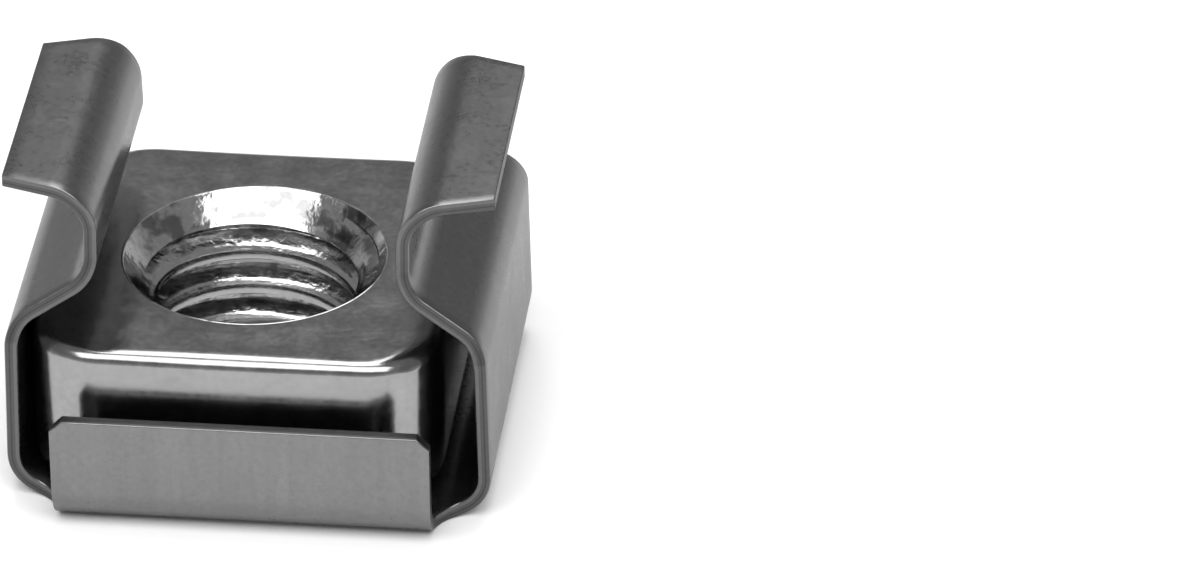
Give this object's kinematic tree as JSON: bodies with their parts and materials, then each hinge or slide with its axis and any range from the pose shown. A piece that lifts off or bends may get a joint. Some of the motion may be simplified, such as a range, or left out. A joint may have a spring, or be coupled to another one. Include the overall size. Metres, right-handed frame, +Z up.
{
  "type": "rack cage nut",
  "caption": "Square threaded nut held loosely in a folded spring-steel cage whose winged arms snap into a square rack hole.",
  "frame": {"origin": "underside of the cage's base, at the middle of its screw hole", "axes": "+Z up the screw hole toward the wings, the arms at -X and +X, the flanges at -Y and +Y"},
  "size_m": [0.012, 0.0118, 0.0083],
  "materials": {
    "cage_steel": "satin nickel or zinc plate on spring steel",
    "nut_steel": "satin zinc plate on steel"
  },
  "bodies": {
    "root": {"spring_cage": "cage_steel", "square_nut": "nut_steel"}
  },
  "joints": []
}
